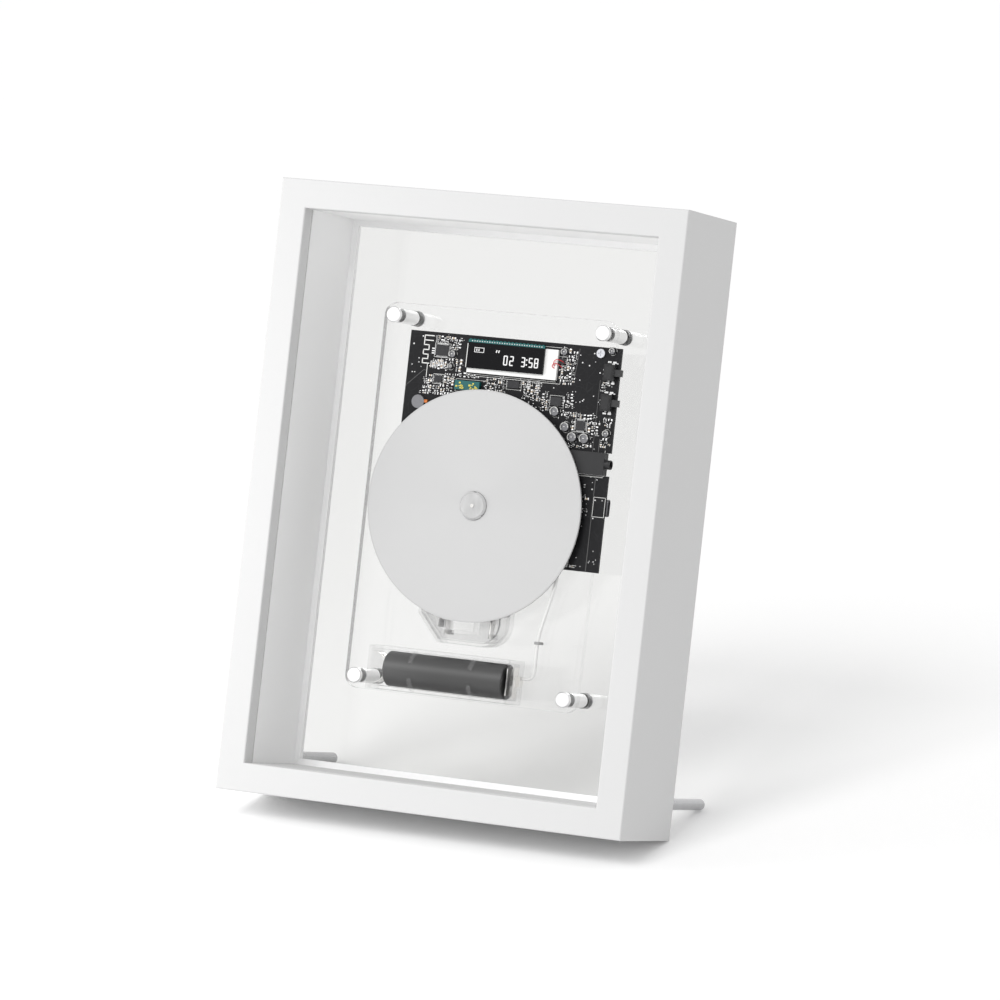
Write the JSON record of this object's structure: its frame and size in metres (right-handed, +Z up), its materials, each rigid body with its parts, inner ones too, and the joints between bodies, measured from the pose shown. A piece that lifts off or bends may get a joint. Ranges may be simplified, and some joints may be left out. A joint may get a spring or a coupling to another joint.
{
  "type": "wall mounted disc player",
  "caption": "Deep white picture frame leaning on rear pegs, with a disc player on a clear plate behind its open front: spindle, disc, pickup, board with display and side buttons, battery cell.",
  "frame": {"origin": "middle of the footprint on the ground, under the centre of the overall box", "axes": "+Z up, +X to the viewer's right, +Y from the front of the frame towards its back; the frame leans back 15.2 degrees about X"},
  "size_m": [0.228, 0.1482, 0.324],
  "materials": {
    "white_lacquer": "satin white lacquer",
    "white_board": "matt white",
    "key_plastic": "matt",
    "clear_panel": "polished, clear",
    "clear_plate": "polished, clear",
    "clear_shell": "moulded, clear",
    "black_rubber": "matt",
    "dark_metal": "satin black",
    "bright_steel": "polished",
    "zinc_steel": "zinc plated",
    "brass": "machined",
    "black_board": "satin black solder mask with white print",
    "white_plastic": "moulded",
    "display_glass": "dark, with light digits",
    "teal_strip": "satin",
    "chip_black": "moulded",
    "can_metal": "drawn",
    "socket_black": "moulded",
    "button_grey": "moulded",
    "cell_sleeve": "shrink sleeve, satin",
    "contact_nickel": "nickel plated",
    "lead_white": "soft",
    "clip_grey": "moulded",
    "milky_shell": "moulded, milky clear",
    "satin_alloy": "satin, turned",
    "disc_white": "printed white, satin",
    "sled_black": "moulded",
    "lens_glass": "polished",
    "ribbon_amber": "film"
  },
  "bodies": {
    "frame": {"rail_top": "white_lacquer", "rail_bottom": "white_lacquer", "rail_left": "white_lacquer", "rail_right": "white_lacquer", "corner_keys": "key_plastic", "liner_boards": "white_board", "panel_ledge": "white_board", "back_panel": "clear_panel", "panel_tabs": "zinc_steel", "tab_screws": "zinc_steel", "stand_pegs": "bright_steel", "peg_bushes": "brass", "wall_hangers": "zinc_steel", "hanger_screws": "zinc_steel", "wall_bumpers": "black_rubber", "carrier_plate": "clear_plate", "standoff_barrels": "satin_alloy", "standoff_caps": "satin_alloy", "standoff_rings": "black_rubber", "standoff_washers": "dark_metal", "standoff_screws": "zinc_steel", "main_board": "black_board", "board_spacers": "white_plastic", "board_screws": "zinc_steel", "display_guide": "white_plastic", "display_glass": "display_glass", "display_pins": "teal_strip", "chips": "chip_black", "capacitors": "can_metal", "shield_can": "can_metal", "radio_module": "teal_strip", "headphone_socket": "socket_black", "charge_socket": "can_metal", "switch_bodies": "socket_black", "lead_socket": "white_plastic", "battery_holder": "clear_shell", "battery_cell": "cell_sleeve", "cell_contacts": "contact_nickel", "holder_screws": "zinc_steel", "battery_lead": "lead_white", "lead_clip": "clip_grey", "drive_housing": "clear_shell", "drive_deck": "clear_shell", "drive_screws": "zinc_steel", "chassis": "milky_shell", "dampers": "black_rubber", "spindle_motor": "can_metal", "guide_rods": "bright_steel", "feed_motor": "can_metal", "pickup_ribbon": "ribbon_amber"},
    "turntable": {"turntable": "clear_shell", "chuck_balls": "contact_nickel", "spindle_shaft": "bright_steel"},
    "disc": {"disc": "disc_white"},
    "sled": {"pickup_sled": "sled_black"},
    "lens": {"lens_holder": "sled_black", "lens": "lens_glass"},
    "lead_screw": {"lead_screw": "bright_steel"},
    "power_key": {"power_button": "button_grey"},
    "play_key": {"play_button": "button_grey"}
  },
  "joints": [
    {"name": "turntable_spin", "type": "hinge", "parent": "frame", "child": "turntable", "pos_m": [0, 0.00038, 0.16221], "axis": [0, 0.965, -0.2622], "continuous": true},
    {"name": "disc_lift", "type": "slide", "parent": "turntable", "child": "disc", "axis": [0, -0.965, 0.2622], "range_m": [0, 0.045]},
    {"name": "sled_travel", "type": "slide", "parent": "frame", "child": "sled", "axis": [0, -0.2622, -0.965], "range_m": [-0.005, 0.03]},
    {"name": "lens_focus", "type": "slide", "parent": "sled", "child": "lens", "axis": [0, -0.965, 0.2622], "range_m": [-0.0006, 0.0006], "stiffness_N_per_m": 20},
    {"name": "screw_turn", "type": "hinge", "parent": "frame", "child": "lead_screw", "pos_m": [-0.017, -0.00084, 0.1211], "axis": [0, 0.2622, 0.965], "range_deg": [-602, 3602]},
    {"name": "power_press", "type": "slide", "parent": "frame", "child": "power_key", "axis": [-1, 0, 0], "range_m": [0, 0.0003], "stiffness_N_per_m": 200},
    {"name": "play_press", "type": "slide", "parent": "frame", "child": "play_key", "axis": [-1, 0, 0], "range_m": [0, 0.0003], "stiffness_N_per_m": 200}
  ],
  "couplings": [
    {"joint": "screw_turn", "follows": "sled_travel", "rad_per_m": 2094.4}
  ]
}
